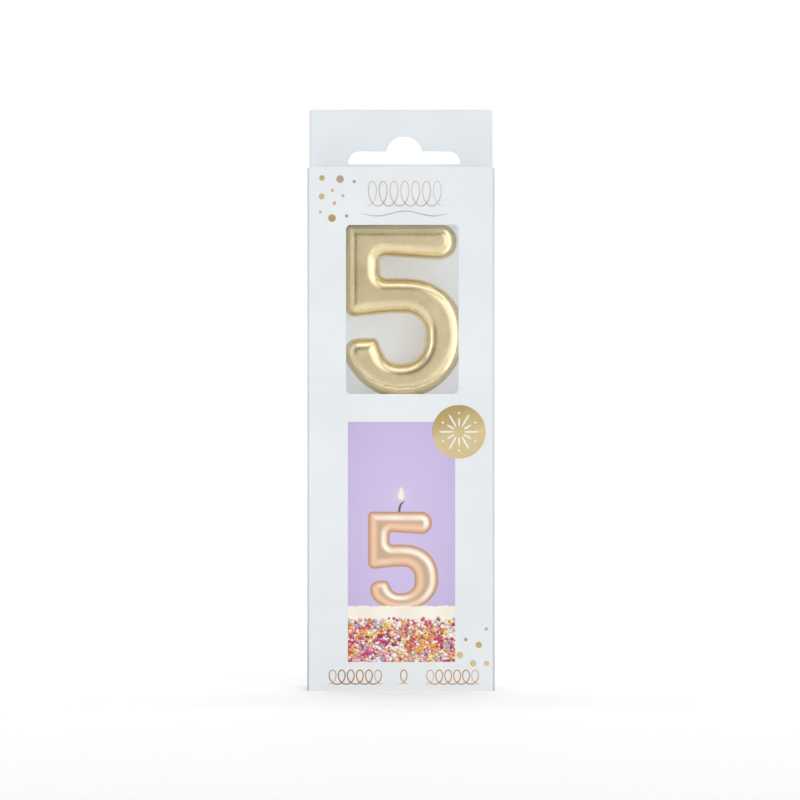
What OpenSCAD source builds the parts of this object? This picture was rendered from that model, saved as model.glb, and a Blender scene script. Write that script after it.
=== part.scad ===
// Number five birthday candle in its hanging windowed carton.
// Origin: middle of the carton's base. +Z up, front faces -Y.

/* [Carton] */
// Width of the carton
carton_w = 53; // [53:1:58]
// Depth of the carton, front to back
carton_d = 20; // [20:1:24]
// Height of the carton below its hanging header
carton_h = 148; // [148:1:152]
// Height of the hanging header above the carton
header_h = 18; // [18:1:24]
// Thickness of the folding board
board = 0.45; // [0.40:0.01:0.45]
// Depth of the tuck lip on each lid
lip_len = 8.5; // [7:0.5:8.5]
// Reach of the dust flaps, from the side wall inwards
flap_reach = 8.4; // [6:0.2:8.4]

/* [Window and seal] */
// Width of the window
window_w = 31.8; // [28:0.2:34]
// Height of the window
window_h = 47.8; // [44:0.2:50]
// Height of the window's lower edge above the base
window_z = 83.9; // [83:0.1:86]
// Radius of the window's corners
window_r = 1.3; // [1:0.1:3]
// Radius of the round foil seal
seal_r = 7.6; // [6:0.1:8]

/* [Candle] */
// Radius of the numeral's round stroke
stroke_r = 5; // [4.6:0.1:5]
// Half the width between the stem and the bowl's far side, on the stroke's centre line
bowl_r = 12.5; // [12:0.1:12.6]
// Height of the numeral's lowest point above the base
numeral_z = 82.9; // [82.9:0.1:83.5]
// Height of the numeral
numeral_h = 49.7; // [48:0.1:50]
// Angle swept by the bowl, from the middle bar round to the tail
bowl_sweep = 246; // [220:1:250]
// Radius of the wick
wick_r = 0.6; // [0.5:0.05:0.8]
// Length of the wick that stands out of the wax
wick_out = 8; // [5:0.5:8]
// Radius of the cake pick
pick_r = 1.3; // [1:0.1:1.4]
// Length of the cake pick below the wax
pick_out = 45; // [35:1:60]

/* [Hidden] */

$fn = 64;
tiny_gap = 0.05;       // between faces of different moving pieces
hinge_clear = 0.36;    // from a fold's centre line to the edge of the wall below it
tuck_gap = 0.15;       // between a lid's free edge and the wall it tucks behind
lip_lean = 20;         // degrees the tucked lips lean away from the wall
lip_start = 0.13;      // from a lip's round crease to the flat of the lip
half_w = carton_w / 2;
front = -carton_d / 2;
back = carton_d / 2;
in_front = front + board;              // inner face of the front wall
in_back = back - board;                // inner face of the back wall
in_side = half_w - board;              // inner face of each side wall
liner_face = in_back - board;          // inner face of the header's second ply
half_board = board / 2;

// Fold lines: [y, z] of each lid's hinge and lip crease
top_hinge = [front + half_board, carton_h - half_board];
top_crease = [liner_face - tuck_gap - half_board, carton_h - half_board];
bottom_hinge = [back - half_board, half_board];
bottom_crease = [in_front + tuck_gap + half_board, half_board];
top_flap_z = carton_h - board - tiny_gap - half_board;
bottom_flap_z = board + tiny_gap + half_board;
flap_axis_x = half_w - half_board;

// Header and its 32 mm hanging slot, punched a little to the right of the middle
header_top = carton_h + header_h;
slot_x = 0.9;
slot_z = carton_h + 2.2;
slot_w = 32;
slot_wing_h = 3.6;
slot_wing_r = 3.2;
slot_bump_r = 5.05;
slot_bump_z = slot_z + 2.85;
liner_z = carton_h - 10;

// Window opening and its film
window_x = 0.35;
film_t = 0.15;
film_margin = 5;

// Seal on the front wall
seal_pos = [16.4, 73.2];
seal_t = 0.08;

// Numeral, on the stroke's centre line, in the carton's mid plane
bowl_z = numeral_z + stroke_r + bowl_r;
top_bar_z = numeral_z + numeral_h - stroke_r;
mid_bar_z = bowl_z + bowl_r;
bowl_x = 0.3;
stem_x = -10.9;
bar_end_x = 11.1;
wick_x = -1.4;
wick_root = 8;
pick_root = 8;
pick_tip_r = 0.4;
pick_taper = 9;
numeral_top = numeral_z + numeral_h;
seam_step = 0.02;      // each stroke is this much thinner than the one it butts against
cap_overlap = 0.05;

// Insert under the candle
insert_gap = 0.05;
insert_top = numeral_z - insert_gap;
insert_side = in_side - insert_gap;
insert_front = in_front + film_t + 0.1;
insert_back = liner_face - 0.15;
pick_hole_r = pick_r + 0.3;

// A box from its lowest to its highest corner
module block(low, high) {
    translate(low) cube(high - low);
}

// Extrudes an outline drawn in x and z, from y0 back to y1
module upright(y0, y1) {
    translate([0, y1, 0]) rotate([90, 0, 0]) linear_extrude(height = y1 - y0) children();
}

// Outline of a rectangle with round corners, centred in x and standing on z
module rounded_outline(w, h, r, x = 0, z = 0) {
    translate([x - w / 2 + r, z]) square([w - 2 * r, h]);
    translate([x - w / 2, z + r]) square([w, h - 2 * r]);
    for (sx = [-1, 1], sz = [r, h - r])
        translate([x + sx * (w / 2 - r), z + sz]) circle(r = r);
}

// The hanging slot: a flat-bottomed wing with a round bump in the middle
module slot_outline() {
    wing_mid = slot_w / 2 - slot_wing_r;
    translate([slot_x, 0]) {
        intersection() {
            union() {
                translate([-wing_mid, slot_z]) square([2 * wing_mid, slot_wing_h]);
                for (sx = [-1, 1])
                    translate([sx * wing_mid, slot_z + slot_wing_h - slot_wing_r])
                        circle(r = slot_wing_r);
            }
            translate([-slot_w / 2, slot_z]) square([slot_w, slot_wing_h]);
        }
        intersection() {
            translate([0, slot_bump_z]) circle(r = slot_bump_r);
            translate([-slot_bump_r, slot_z]) square(2 * slot_bump_r);
        }
    }
}

// A straight round fold of the board along X, at [y, z]
module fold_x(at, half_len) {
    translate([-half_len, at[0], at[1]]) rotate([0, 90, 0]) cylinder(r = half_board, h = 2 * half_len);
}

// A lid: a flat plate between its hinge fold and its lip fold
module lid(hinge, crease) {
    half_len = half_w - 0.2;
    y0 = min(hinge[0], crease[0]);
    y1 = max(hinge[0], crease[0]);
    block([-half_len, y0, hinge[1] - half_board], [half_len, y1, hinge[1] + half_board]);
    fold_x(hinge, half_len);
    fold_x(crease, half_len);
}

// A tuck lip hanging from a crease; side is -1 for down and back, 1 for up and front
module tuck_lip(crease, side) {
    half_len = in_side - 0.85;
    start = half_board + lip_start;
    translate([0, crease[0], crease[1]])
        rotate([side > 0 ? -lip_lean : 180 - lip_lean, 0, 0])
            upright(-half_board, half_board) {
                translate([-half_len, start]) square([2 * half_len, lip_len - 4 - start]);
                translate([-half_len + 4, start]) square([2 * half_len - 8, lip_len - start]);
                for (sx = [-1, 1]) translate([sx * (half_len - 4), lip_len - 4]) circle(r = 4);
            }
}

// A dust flap on the +X side: outline drawn in x and y, hinge_y is the lid's hinge side
module dust_flap(z, hinge_y, slope, free_y) {
    dir = sign(free_y - hinge_y);
    from_y = hinge_y + dir * 1.2;
    tip_x = half_w - flap_reach;
    chamfer = 1;
    translate([0, 0, z - half_board]) linear_extrude(height = board) polygon([
        [flap_axis_x, from_y],
        [tip_x + chamfer, from_y + dir * slope * (flap_axis_x - tip_x - chamfer)],
        [tip_x, from_y + dir * (slope * (flap_axis_x - tip_x) + chamfer * 0.6)],
        [tip_x, free_y - dir * chamfer],
        [tip_x + chamfer, free_y],
        [flap_axis_x, free_y]
    ]);
    translate([flap_axis_x, min(from_y, free_y), z]) rotate([-90, 0, 0])
        cylinder(r = half_board, h = abs(free_y - from_y));
}

module top_dust_flap() {
    dust_flap(top_flap_z, top_hinge[0], 0.65, back - 3.2);
}

module bottom_dust_flap() {
    dust_flap(bottom_flap_z, bottom_hinge[0], 0.98, front + 3.2);
}

// A half space on one side of a diagonal through [x, z]: turn is the diagonal's angle about Y
module mitre_half(at, turn) {
    translate([at[0], 0, at[1]]) rotate([0, turn, 0]) translate([0, -20, -60]) cube([60, 40, 120]);
}

// A round stroke along X, mid plane at y = 0
module stroke_x(x0, x1, z) {
    translate([x0, 0, z]) rotate([0, 90, 0]) cylinder(r = stroke_r, h = x1 - x0);
}

// A round cap facing -Y, a hair inside the end of the stroke that it closes
module stroke_cap() {
    intersection() {
        sphere(r = stroke_r - 2 * seam_step);
        translate([-20, -20, -20]) cube([40, 20 + cap_overlap, 40]);
    }
}

module front_panel() {
    color("#e6eaed") difference() {
        block([-half_w, front, 0], [half_w, in_front, top_hinge[1] - hinge_clear]);
        upright(front - 1, in_front + 1)
            rounded_outline(window_w, window_h, window_r, window_x, window_z);
    }
}

module side_panel(x0) {
    color("#dfe4e8") block([x0, in_front, bottom_flap_z + hinge_clear],
        [x0 + board, in_back, top_flap_z - hinge_clear]);
}

module left_panel() { side_panel(-half_w); }

module right_panel() { side_panel(in_side); }

module back_panel() {
    color("#e6eaed") difference() {
        block([-half_w, in_back, bottom_hinge[1] + hinge_clear], [half_w, back, header_top]);
        upright(in_back - 1, back + 1) slot_outline();
    }
}

module hang_tab_liner() {
    side = in_side - tiny_gap;
    color("#e6eaed") difference() {
        block([-side, liner_face, liner_z], [side, in_back, header_top]);
        upright(liner_face - 1, in_back + 1) slot_outline();
    }
}

module glue_flap() {
    color("#d5d8da") block([-in_side, liner_face, 4], [-in_side + 11, in_back, liner_z - 2]);
}

module window_film() {
    color("#eef4f6", 0.3) block(
        [window_x - window_w / 2 - film_margin, in_front, window_z - 4],
        [window_x + window_w / 2 + film_margin, in_front + film_t, window_z + window_h + film_margin]);
}

module foil_seal() {
    color("#cfb982") translate([seal_pos[0], front, seal_pos[1]]) rotate([90, 0, 0])
        cylinder(r = seal_r, h = seal_t);
}

module support_insert() {
    foot = bottom_flap_z + half_board + 0.15;
    color("#d5d5d5") {
        difference() {
            block([-insert_side, insert_front, insert_top - board],
                [insert_side, insert_back, insert_top]);
            translate([0, 0, insert_top - 2]) cylinder(r = pick_hole_r, h = 4);
        }
        for (x0 = [-insert_side, insert_side - board])
            block([x0, insert_front, foot], [x0 + board, insert_back, insert_top - board]);
    }
}

module top_lid() { color("#e9edf0") lid(top_hinge, top_crease); }

module top_lip() { color("#e9edf0") tuck_lip(top_crease, -1); }

module top_flap_right() { color("#dfe4e8") top_dust_flap(); }

module top_flap_left() { color("#dfe4e8") mirror([1, 0, 0]) top_dust_flap(); }

module bottom_lid() { color("#e9edf0") lid(bottom_hinge, bottom_crease); }

module bottom_lip() { color("#e9edf0") tuck_lip(bottom_crease, 1); }

module bottom_flap_right() { color("#dfe4e8") bottom_dust_flap(); }

module bottom_flap_left() { color("#dfe4e8") mirror([1, 0, 0]) bottom_dust_flap(); }

module wax_numeral() {
    stem_low = mid_bar_z - stroke_r;
    color("#cdbb8c") difference() {
        union() {
            // top bar, mitred into the stem
            intersection() {
                stroke_x(stem_x - stroke_r, bar_end_x, top_bar_z);
                mitre_half([stem_x, top_bar_z], -45);
            }
            translate([bar_end_x, 0, top_bar_z]) rotate([0, 0, 90]) stroke_cap();
            // stem, mitred at both ends
            difference() {
                translate([stem_x, 0, stem_low])
                    cylinder(r = stroke_r, h = numeral_top - stem_low);
                mitre_half([stem_x, top_bar_z], -45);
                mitre_half([stem_x, mid_bar_z], 45);
            }
            // middle bar, mitred out of the stem
            intersection() {
                stroke_x(stem_x - stroke_r, bowl_x, mid_bar_z);
                mitre_half([stem_x, mid_bar_z], 45);
            }
            // bowl and tail
            translate([bowl_x, 0, bowl_z]) rotate([90, 0, 0]) rotate([0, 0, 90 - bowl_sweep]) {
                rotate_extrude(angle = bowl_sweep) translate([bowl_r, 0])
                    circle(r = stroke_r - seam_step);
                translate([bowl_r, 0, 0]) stroke_cap();
            }
        }
        translate([wick_x, 0, numeral_top - wick_root]) cylinder(r = wick_r, h = wick_root + 1);
        translate([0, 0, numeral_z - 1]) cylinder(r = pick_r, h = pick_root + 1);
    }
}

module wick() {
    color("#f4efe2") translate([wick_x, 0, numeral_top - wick_root])
        cylinder(r = wick_r, h = wick_root + wick_out);
}

module pick() {
    tip_z = numeral_z - pick_out;
    color("#f2f3f2") translate([0, 0, tip_z]) {
        translate([0, 0, pick_taper]) cylinder(r = pick_r, h = pick_out + pick_root - pick_taper);
        cylinder(r1 = pick_tip_r, r2 = pick_r, h = pick_taper);
    }
}

front_panel();
left_panel();
right_panel();
back_panel();
hang_tab_liner();
glue_flap();
window_film();
foil_seal();
support_insert();
top_lid();
top_lip();
top_flap_left();
top_flap_right();
bottom_lid();
bottom_lip();
bottom_flap_left();
bottom_flap_right();
wax_numeral();
wick();
pick();
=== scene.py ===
"""Looks of the boxed number five candle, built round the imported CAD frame.

Shapes are worked out in millimetres in the frame's own axes and scaled to metres as each mesh is
made: +X right, -Y out of the front, +Z up.
"""

import math
import random

import bpy
import bmesh
import numpy as np
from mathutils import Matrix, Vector


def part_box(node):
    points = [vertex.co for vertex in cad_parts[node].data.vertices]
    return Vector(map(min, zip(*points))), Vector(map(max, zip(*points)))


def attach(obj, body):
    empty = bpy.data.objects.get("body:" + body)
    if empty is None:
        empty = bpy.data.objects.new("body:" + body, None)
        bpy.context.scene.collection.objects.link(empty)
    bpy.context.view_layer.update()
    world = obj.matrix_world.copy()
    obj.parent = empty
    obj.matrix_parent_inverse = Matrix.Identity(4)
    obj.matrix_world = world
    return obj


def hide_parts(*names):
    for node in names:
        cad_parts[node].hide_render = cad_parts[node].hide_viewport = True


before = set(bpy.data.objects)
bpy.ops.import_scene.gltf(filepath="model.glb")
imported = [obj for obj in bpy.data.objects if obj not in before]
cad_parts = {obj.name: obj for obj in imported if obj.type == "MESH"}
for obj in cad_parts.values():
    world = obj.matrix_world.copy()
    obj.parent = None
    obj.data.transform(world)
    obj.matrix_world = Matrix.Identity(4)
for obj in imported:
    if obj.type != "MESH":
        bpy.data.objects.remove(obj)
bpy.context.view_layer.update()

MM = 0.001
SEED = 5


def box_mm(node):
    """Lowest and highest corner of a CAD node, in millimetres."""
    low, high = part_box(node)
    return [c / MM for c in low], [c / MM for c in high]


FRONT_LOW, FRONT_HIGH = box_mm("front_panel")
BACK_LOW, BACK_HIGH = box_mm("back_panel")
LEFT_LOW, LEFT_HIGH = box_mm("left_panel")
LINER_LOW, LINER_HIGH = box_mm("hang_tab_liner")
TOP_LOW, TOP_HIGH = box_mm("top_lid")
FILM_HIGH = box_mm("window_film")[1]
SEAL_LOW, SEAL_HIGH = box_mm("foil_seal")
CANDLE_LOW, CANDLE_HIGH = box_mm("wax_numeral")
WICK_LOW, WICK_HIGH = box_mm("wick")
PICK_LOW, PICK_HIGH = box_mm("pick")

BOARD = FRONT_HIGH[1] - FRONT_LOW[1]
HALF_W = FRONT_HIGH[0]
FRONT_Y = FRONT_LOW[1]
BACK_Y = BACK_HIGH[1]
INK_LIFT = 0.02  # how far the printed picture stands off the board, so that it doesn't hide in it
FOIL_LIFT = 0.03  # how thick the foil strokes are, and the ink on the seal
DOT_LIFT = 0.04  # how thick the foil dots are


# ---------------------------------------------------------------- mesh helpers


def new_object(name, mesh):
    """An object in the scene that shows a mesh."""
    obj = bpy.data.objects.new(name, mesh)
    bpy.context.scene.collection.objects.link(obj)
    return obj


def finish_piece(obj, body, material, smooth=False):
    """Gives a piece its material and shading, and sets it riding on a body."""
    obj.data.materials.clear()
    obj.data.materials.append(material)
    obj.data.polygons.foreach_set("use_smooth", [smooth] * len(obj.data.polygons))
    obj.data.update()
    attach(obj, body)
    return obj


def mesh_from(name, verts_mm, faces):
    """An object made of vertices in millimetres and faces."""
    mesh = bpy.data.meshes.new(name)
    mesh.from_pydata([(x * MM, y * MM, z * MM) for x, y, z in verts_mm], [], faces)
    mesh.update()
    return new_object(name, mesh)


def with_modifiers_applied(obj):
    """Replaces the object's mesh with what its modifiers make of it."""
    graph = bpy.context.evaluated_depsgraph_get()
    mesh = bpy.data.meshes.new_from_object(obj.evaluated_get(graph))
    obj.modifiers.clear()
    old = obj.data
    obj.data = mesh
    bpy.data.meshes.remove(old)
    return obj


def arc(cx, cz, r, start, end, steps=16):
    """Points on a circle from one angle to another, in degrees."""
    angles = (math.radians(start + (end - start) * i / steps) for i in range(steps + 1))
    return [(cx + r * math.cos(a), cz + r * math.sin(a)) for a in angles]


def rounded(corners, steps=8):
    """A closed outline through (x, z, radius) corners, each turned on an arc of its radius."""
    points = []
    count = len(corners)
    for i, (x, z, r) in enumerate(corners):
        if r <= 0:
            points.append((x, z))
            continue
        ax, az = corners[i - 1][0] - x, corners[i - 1][1] - z
        bx, bz = corners[(i + 1) % count][0] - x, corners[(i + 1) % count][1] - z
        la, lb = math.hypot(ax, az), math.hypot(bx, bz)
        ax, az, bx, bz = ax / la, az / la, bx / lb, bz / lb
        half = math.acos(max(-1.0, min(1.0, ax * bx + az * bz))) / 2
        reach = r / math.tan(half)
        mx, mz = ax + bx, az + bz
        ml = math.hypot(mx, mz)
        cx, cz = x + mx / ml * r / math.sin(half), z + mz / ml * r / math.sin(half)
        first = math.atan2(z + az * reach - cz, x + ax * reach - cx)
        last = math.atan2(z + bz * reach - cz, x + bx * reach - cx)
        turn = (last - first + math.pi) % (2 * math.pi) - math.pi
        for k in range(steps + 1):
            a = first + turn * k / steps
            points.append((cx + r * math.cos(a), cz + r * math.sin(a)))
    return points


def plate(name, outlines, near_y, far_y, keep_sharp=lambda x, z: False, edge=0.08):
    """A flat sheet in X and Z between two values of y, with holes. Its edges are softened, except
    where keep_sharp says otherwise."""
    bm = bmesh.new()
    edges = []
    for outline in outlines:
        ring = [bm.verts.new((x * MM, near_y * MM, z * MM)) for x, z in outline]
        edges += [bm.edges.new((ring[i - 1], ring[i])) for i in range(len(ring))]
    bmesh.ops.triangle_fill(bm, use_beauty=True, use_dissolve=False, edges=edges)
    made = bmesh.ops.extrude_face_region(bm, geom=list(bm.faces))["geom"]
    for v in (g for g in made if isinstance(g, bmesh.types.BMVert)):
        v.co.y = far_y * MM
    bmesh.ops.recalc_face_normals(bm, faces=bm.faces)
    rim = [e for e in bm.edges if e.calc_face_angle(0) > math.radians(50)
           and not all(keep_sharp(v.co.x / MM, v.co.z / MM) for v in e.verts)]
    bmesh.ops.bevel(bm, geom=rim, offset=edge * MM, segments=2, profile=0.5, affect="EDGES")
    mesh = bpy.data.meshes.new(name)
    bm.to_mesh(mesh)
    bm.free()
    return new_object(name, mesh)


def bar(name, section, length_axis, start, end):
    """A straight bar of a closed section, with end caps. The section lists its two other axes."""
    others = [i for i in range(3) if i != length_axis]
    verts, count = [], len(section)
    for at in (start, end):
        for a, b in section:
            point = [0.0, 0.0, 0.0]
            point[length_axis], point[others[0]], point[others[1]] = at, a, b
            verts.append(tuple(point))
    faces = [(i, (i + 1) % count, count + (i + 1) % count, count + i) for i in range(count)]
    faces += [tuple(range(count)), tuple(range(count, 2 * count))]
    obj = mesh_from(name, verts, faces)
    bm = bmesh.new()
    bm.from_mesh(obj.data)
    bmesh.ops.recalc_face_normals(bm, faces=bm.faces)
    bm.to_mesh(obj.data)
    bm.free()
    return obj


def tube_faces(rows, sides):
    """Quads round a tube of rows + 1 rings of vertices, and a cap on each of its ends."""
    faces = []
    for i in range(rows):
        for k in range(sides):
            a, b = i * sides + k, i * sides + (k + 1) % sides
            faces.append((a, b, b + sides, a + sides))
    return faces + [tuple(reversed(range(sides))), tuple(range(rows * sides, (rows + 1) * sides))]


def ribbon(name, path, width, lift, y):
    """A flat foil stroke along a path in X and Z, narrowing to its ends."""
    end_share, shoulder = 0.35, 0.6  # width of the ends, and of the raised flat, as shares of the full one
    verts, faces = [], []
    count = len(path)
    for i, (x, z) in enumerate(path):
        x0, z0 = path[max(i - 1, 0)]
        x1, z1 = path[min(i + 1, count - 1)]
        length = math.hypot(x1 - x0, z1 - z0) or 1.0
        nx, nz = -(z1 - z0) / length, (x1 - x0) / length
        along = i / (count - 1)
        half = width / 2 * (end_share + (1 - end_share) * min(1.0, 6 * along, 6 * (1 - along)))
        verts += [
            (x + nx * half, y, z + nz * half),
            (x + nx * half * shoulder, y - lift, z + nz * half * shoulder),
            (x - nx * half * shoulder, y - lift, z - nz * half * shoulder),
            (x - nx * half, y, z - nz * half),
        ]
    for i in range(count - 1):
        a, b = 4 * i, 4 * (i + 1)
        faces += [(a + k, b + k, b + (k + 1) % 4, a + (k + 1) % 4) for k in range(4)]
    faces += [(3, 2, 1, 0), (a + 4, a + 5, a + 6, a + 7)]
    return mesh_from(name, verts, faces)


def disc(name, x, z, r, y, lift, rings=((1.0, 0.0), (0.96, 0.7), (0.9, 1.0)), sides=40):
    """A round foil pad whose rim eases up to a flat top. rings holds (radius, height) shares."""
    verts = []
    for share, height in rings:
        for k in range(sides):
            a = 2 * math.pi * k / sides
            verts.append((x + r * share * math.cos(a), y - lift * height, z + r * share * math.sin(a)))
    return mesh_from(name, verts, tube_faces(len(rings) - 1, sides))


def joined(name, objs):
    """Joins several objects into one piece."""
    bm = bmesh.new()
    for obj in objs:
        bm.from_mesh(obj.data)
        mesh = obj.data
        bpy.data.objects.remove(obj)
        bpy.data.meshes.remove(mesh)
    mesh = bpy.data.meshes.new(name)
    bm.to_mesh(mesh)
    bm.free()
    return new_object(name, mesh)


# ---------------------------------------------------------------- materials


def new_material(name, color, roughness, metallic=0.0):
    """A material, its node tree and its shader, with the values that are the same all over."""
    mat = bpy.data.materials.new(name)
    mat.use_nodes = True
    shader = mat.node_tree.nodes["Principled BSDF"]
    shader.inputs["Base Color"].default_value = (*color, 1.0)
    shader.inputs["Roughness"].default_value = roughness
    shader.inputs["Metallic"].default_value = metallic
    return mat, mat.node_tree, shader


def noise(tree, scale, detail=4.0, stretch=(1, 1, 1)):
    """Object-space noise; scale is in features per metre."""
    coords = tree.nodes.new("ShaderNodeTexCoord")
    mapping = tree.nodes.new("ShaderNodeMapping")
    mapping.inputs["Scale"].default_value = stretch
    tex = tree.nodes.new("ShaderNodeTexNoise")
    tex.inputs["Scale"].default_value = scale
    tex.inputs["Detail"].default_value = detail
    tree.links.new(coords.outputs["Object"], mapping.inputs["Vector"])
    tree.links.new(mapping.outputs["Vector"], tex.inputs["Vector"])
    return tex


def ramp(tree, source, stops):
    """A colour ramp; stops holds (position, (r, g, b))."""
    node = tree.nodes.new("ShaderNodeValToRGB")
    while len(node.color_ramp.elements) < len(stops):
        node.color_ramp.elements.new(0.5)
    for element, (position, color) in zip(node.color_ramp.elements, stops):
        element.position = position
        element.color = (*color, 1.0)
    tree.links.new(source, node.inputs["Fac"])
    return node


def spread(tree, source, low, high):
    """Maps a texture's 0.3 to 0.7 onto low to high."""
    node = tree.nodes.new("ShaderNodeMapRange")
    node.inputs["From Min"].default_value = 0.3
    node.inputs["From Max"].default_value = 0.7
    node.inputs["To Min"].default_value = low
    node.inputs["To Max"].default_value = high
    tree.links.new(source, node.inputs["Value"])
    return node.outputs["Result"]


def bump(tree, shader, heights):
    """Chains bumps onto the shader; heights holds (source, strength, distance in mm)."""
    last = None
    for source, strength, distance in heights:
        node = tree.nodes.new("ShaderNodeBump")
        node.inputs["Strength"].default_value = strength
        node.inputs["Distance"].default_value = distance * MM
        tree.links.new(source, node.inputs["Height"])
        if last:
            tree.links.new(last.outputs["Normal"], node.inputs["Normal"])
        last = node
    tree.links.new(last.outputs["Normal"], shader.inputs["Normal"])


def card_material(name, color, roughness=0.42, mottle=0.02):
    """Coated folding board: faint mottling, fibre tooth and slow waviness."""
    mat, tree, shader = new_material(name, color, roughness)
    shader.inputs["Specular IOR Level"].default_value = 0.2
    shader.inputs["Coat Weight"].default_value = 0.04
    shader.inputs["Coat Roughness"].default_value = 0.3
    cloud = noise(tree, 60, 3)
    dark = tuple(c * (1 - mottle) for c in color)
    light = tuple(min(1.0, c * (1 + mottle)) for c in color)
    tone = ramp(tree, cloud.outputs["Fac"], [(0.35, dark), (0.65, light)])
    tree.links.new(tone.outputs["Color"], shader.inputs["Base Color"])
    fibre = noise(tree, 2600, 5, (1, 1, 0.45))
    tree.links.new(spread(tree, fibre.outputs["Fac"], roughness - 0.05, roughness + 0.08),
                   shader.inputs["Roughness"])
    bump(tree, shader, [(noise(tree, 25, 1).outputs["Fac"], 0.25, 0.6),
                        (fibre.outputs["Fac"], 0.12, 0.03)])
    return mat


def foil_material(name, dark, light, roughness=0.34):
    """Hot-stamped foil: a metallic gradient with fine brushed grain and pressed-in wrinkles."""
    mat, tree, shader = new_material(name, light, roughness, 1.0)
    cloud = noise(tree, 60, 1.5, (1, 1, 1.4))
    tone = ramp(tree, cloud.outputs["Fac"], [(0.38, dark), (0.62, light)])
    tree.links.new(tone.outputs["Color"], shader.inputs["Base Color"])
    grain = noise(tree, 3500, 4, (1, 1, 0.6))
    tree.links.new(spread(tree, grain.outputs["Fac"], roughness - 0.04, roughness + 0.06),
                   shader.inputs["Roughness"])
    bump(tree, shader, [(grain.outputs["Fac"], 0.07, 0.012)])
    return mat


def gold_wax_material():
    """Pearly metallic lacquer over wax, with a soft orange peel and slow hand-dipped waves."""
    mat, tree, shader = new_material("gold_lacquered_wax", (0.86, 0.73, 0.42), 0.3, 1.0)
    shader.inputs["Coat Weight"].default_value = 0.7
    shader.inputs["Coat Roughness"].default_value = 0.16
    shader.inputs["Coat IOR"].default_value = 2.5
    cloud = noise(tree, 120, 4)
    tone = ramp(tree, cloud.outputs["Fac"], [(0.3, (0.75, 0.60, 0.31)), (0.7, (0.88, 0.735, 0.42))])
    tree.links.new(tone.outputs["Color"], shader.inputs["Base Color"])
    flake = noise(tree, 4200, 3)
    tree.links.new(spread(tree, flake.outputs["Fac"], 0.25, 0.37), shader.inputs["Roughness"])
    bump(tree, shader, [(noise(tree, 170, 2).outputs["Fac"], 0.30, 0.35),
                        (noise(tree, 1400, 3).outputs["Fac"], 0.10, 0.06),
                        (flake.outputs["Fac"], 0.06, 0.02)])
    return mat


def cotton_material():
    """Waxed cotton yarn."""
    mat, tree, shader = new_material("waxed_cotton", (0.86, 0.82, 0.71), 0.62)
    shader.inputs["Sheen Weight"].default_value = 0.3
    fuzz = noise(tree, 5200, 5, (1, 1, 0.25))
    tone = ramp(tree, fuzz.outputs["Fac"], [(0.3, (0.74, 0.69, 0.57)), (0.7, (0.92, 0.89, 0.80))])
    tree.links.new(tone.outputs["Color"], shader.inputs["Base Color"])
    bump(tree, shader, [(fuzz.outputs["Fac"], 0.5, 0.05)])
    return mat


def pick_material():
    """Milky injection-moulded plastic."""
    mat, tree, shader = new_material("milky_plastic", (0.86, 0.86, 0.84), 0.32)
    shader.inputs["Subsurface Weight"].default_value = 0.2
    shader.inputs["Subsurface Radius"].default_value = (0.002, 0.002, 0.002)
    swirl = noise(tree, 300, 3, (1, 1, 0.2))
    tone = ramp(tree, swirl.outputs["Fac"], [(0.3, (0.82, 0.82, 0.80)), (0.7, (0.90, 0.90, 0.89))])
    tree.links.new(tone.outputs["Color"], shader.inputs["Base Color"])
    bump(tree, shader, [(noise(tree, 1800, 2).outputs["Fac"], 0.08, 0.03)])
    return mat


def film_material():
    """Clear PET: see-through, with a weak sheen that grows towards grazing angles."""
    mat, tree, shader = new_material("clear_film", (1.0, 1.0, 1.0), 0.06)
    clear = tree.nodes.new("ShaderNodeBsdfTransparent")
    mix = tree.nodes.new("ShaderNodeMixShader")
    facing = tree.nodes.new("ShaderNodeLayerWeight")
    facing.inputs["Blend"].default_value = 0.12
    share = tree.nodes.new("ShaderNodeMath")
    share.operation = "MULTIPLY"
    share.inputs[1].default_value = 0.35
    tree.links.new(facing.outputs["Fresnel"], share.inputs[0])
    tree.links.new(share.outputs[0], mix.inputs["Fac"])
    tree.links.new(clear.outputs[0], mix.inputs[1])
    tree.links.new(shader.outputs[0], mix.inputs[2])
    output = tree.nodes["Material Output"]
    tree.links.new(mix.outputs[0], output.inputs["Surface"])
    bump(tree, shader, [(noise(tree, 40, 2).outputs["Fac"], 0.2, 0.4)])
    return mat


def print_material():
    """Offset print on the board: the picture's own colours, with the board's satin finish."""
    mat, tree, shader = new_material("printed_picture", (0.6, 0.5, 0.7), 0.38)
    ink = tree.nodes.new("ShaderNodeAttribute")
    ink.attribute_name = "ink"
    tree.links.new(ink.outputs["Color"], shader.inputs["Base Color"])
    fibre = noise(tree, 2600, 5, (1, 1, 0.45))
    tree.links.new(spread(tree, fibre.outputs["Fac"], 0.33, 0.45), shader.inputs["Roughness"])
    bump(tree, shader, [(fibre.outputs["Fac"], 0.08, 0.03)])
    return mat


CARD = card_material("white_board", (0.79, 0.825, 0.85))
# The creases' board is darker than the walls: painted shade along the folds, on top of a little real
# greying of the cracked fibres
SHADED_FOLD_CARD = card_material("board_fold_painted_shade", (0.62, 0.65, 0.66), 0.6, 0.03)
# The inner side is matt and plain, and lighter than the outer board: painted light, making up for the dim
# inside of the carton
LIGHTENED_INNER_CARD = card_material("inner_board_painted_light", (0.83, 0.86, 0.90), 0.6, 0.02)
GOLD_FOIL = foil_material("gold_foil", (0.56, 0.405, 0.155), (0.81, 0.665, 0.375))
ROSE_FOIL = foil_material("rose_foil", (0.60, 0.42, 0.29), (0.80, 0.60, 0.44))
COPPER_FOIL = foil_material("copper_foil", (0.42, 0.21, 0.08), (0.62, 0.36, 0.16), 0.3)
PALE_ROSE_FOIL = foil_material("pale_rose_foil", (0.56, 0.42, 0.36), (0.74, 0.60, 0.53), 0.35)
GOLD_WAX = gold_wax_material()
COTTON = cotton_material()
PLASTIC = pick_material()
FILM = film_material()
PRINT = print_material()
WHITE_INK = card_material("white_ink", (0.93, 0.92, 0.88), 0.4)


# ---------------------------------------------------------------- the figure five


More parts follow.
